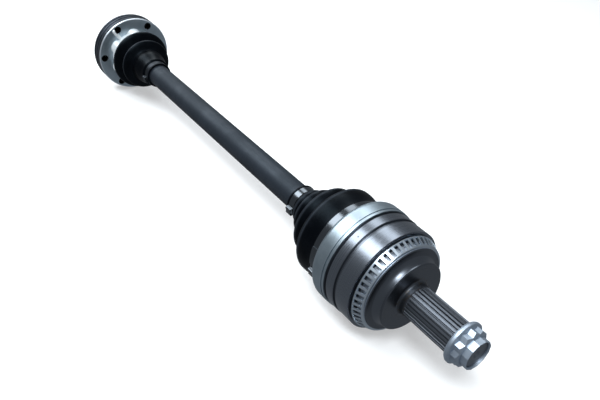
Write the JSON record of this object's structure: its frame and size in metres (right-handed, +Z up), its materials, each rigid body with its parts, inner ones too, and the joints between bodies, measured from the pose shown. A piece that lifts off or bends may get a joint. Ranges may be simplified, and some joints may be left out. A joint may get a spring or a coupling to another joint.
{
  "type": "axle shaft",
  "caption": "Rear axle half-shaft: a painted bar between a plunging ball joint with a bolt flange and a fixed ball joint with a splined stub, sensor ring and nut.",
  "frame": {"origin": "centre of the bolt circle on the mounting face of the flange", "axes": "+X along the bar from the flange to the splined stub, +Z up, through the first ball of each joint"},
  "size_m": [0.6783, 0.1024, 0.1024],
  "materials": {
    "bar_paint": "satin dark grey-blue paint on steel",
    "ground_steel": "ground bearing steel",
    "spring_steel": "oiled spring steel",
    "dark_steel": "hardened steel with a dark oil film",
    "ball_steel": "polished bearing balls",
    "zinc_sheet": "pressed sheet steel with zinc plating",
    "boot_rubber": "moulded black rubber",
    "clamp_steel": "stainless clamp band",
    "bell_steel": "turned and ground steel",
    "zinc_nut": "bright zinc plating"
  },
  "bodies": {
    "bar": {"axle_bar": "bar_paint", "inner_race": "ground_steel", "inner_circlip": "spring_steel", "outer_race": "ground_steel", "outer_circlip": "spring_steel", "inner_boot_clamp": "clamp_steel", "outer_small_clamp": "clamp_steel", "outer_boot": "boot_rubber"},
    "plunge": {"inner_boot": "boot_rubber"},
    "inner_lead_ball": {"inner_ball_1": "ball_steel"},
    "inner_cage_set": {"inner_cage": "dark_steel", "inner_ball_2": "ball_steel", "inner_ball_3": "ball_steel", "inner_ball_5": "ball_steel", "inner_ball_6": "ball_steel"},
    "inner_far_ball": {"inner_ball_4": "ball_steel"},
    "flange": {"inner_ring": "dark_steel", "inner_boot_cap": "zinc_sheet", "inner_end_cap": "zinc_sheet"},
    "outer_lead_ball": {"outer_ball_1": "ball_steel"},
    "outer_cage_set": {"outer_cage": "dark_steel", "outer_ball_2": "ball_steel", "outer_ball_3": "ball_steel", "outer_ball_5": "ball_steel", "outer_ball_6": "ball_steel"},
    "outer_far_ball": {"outer_ball_4": "ball_steel"},
    "bell": {"bell": "bell_steel", "sensor_ring": "zinc_sheet", "outer_boot_cap": "zinc_sheet", "outer_large_clamp": "clamp_steel", "axle_nut": "zinc_nut"}
  },
  "joints": [
    {"name": "inner_plunge", "type": "slide", "parent": "bar", "child": "plunge", "axis": [1, 0, 0], "range_m": [-0.008, 0.008], "deforming": ["inner_boot"]},
    {"name": "inner_pitch_near", "type": "hinge", "parent": "plunge", "child": "inner_lead_ball", "pos_m": [0.01025, 0, 0], "axis": [0, 1, 0], "range_deg": [-6, 6], "deforming": ["inner_boot"]},
    {"name": "inner_yaw_near", "type": "hinge", "parent": "inner_lead_ball", "child": "inner_cage_set", "pos_m": [0.01025, 0, 0], "axis": [0, 0, 1], "range_deg": [-6, 6], "deforming": ["inner_boot"]},
    {"name": "inner_yaw_far", "type": "hinge", "parent": "inner_cage_set", "child": "inner_far_ball", "pos_m": [0.01025, 0, 0], "axis": [0, 0, 1], "range_deg": [-6, 6], "deforming": ["inner_boot"]},
    {"name": "inner_pitch_far", "type": "hinge", "parent": "inner_far_ball", "child": "flange", "pos_m": [0.01025, 0, 0], "axis": [0, 1, 0], "range_deg": [-6, 6], "deforming": ["inner_boot"]},
    {"name": "outer_pitch_near", "type": "hinge", "parent": "bar", "child": "outer_lead_ball", "pos_m": [0.54625, 0, 0], "axis": [0, 1, 0], "range_deg": [-10, 10], "deforming": ["outer_boot"]},
    {"name": "outer_yaw_near", "type": "hinge", "parent": "outer_lead_ball", "child": "outer_cage_set", "pos_m": [0.54625, 0, 0], "axis": [0, 0, 1], "range_deg": [-10, 10], "deforming": ["outer_boot"]},
    {"name": "outer_yaw_far", "type": "hinge", "parent": "outer_cage_set", "child": "outer_far_ball", "pos_m": [0.54625, 0, 0], "axis": [0, 0, 1], "range_deg": [-10, 10], "deforming": ["outer_boot"]},
    {"name": "outer_pitch_far", "type": "hinge", "parent": "outer_far_ball", "child": "bell", "pos_m": [0.54625, 0, 0], "axis": [0, 1, 0], "range_deg": [-10, 10], "deforming": ["outer_boot"]}
  ],
  "couplings": [
    {"joint": "inner_yaw_far", "follows": "inner_yaw_near", "ratio": 1},
    {"joint": "inner_pitch_far", "follows": "inner_pitch_near", "ratio": 1},
    {"joint": "outer_yaw_far", "follows": "outer_yaw_near", "ratio": 1},
    {"joint": "outer_pitch_far", "follows": "outer_pitch_near", "ratio": 1}
  ]
}
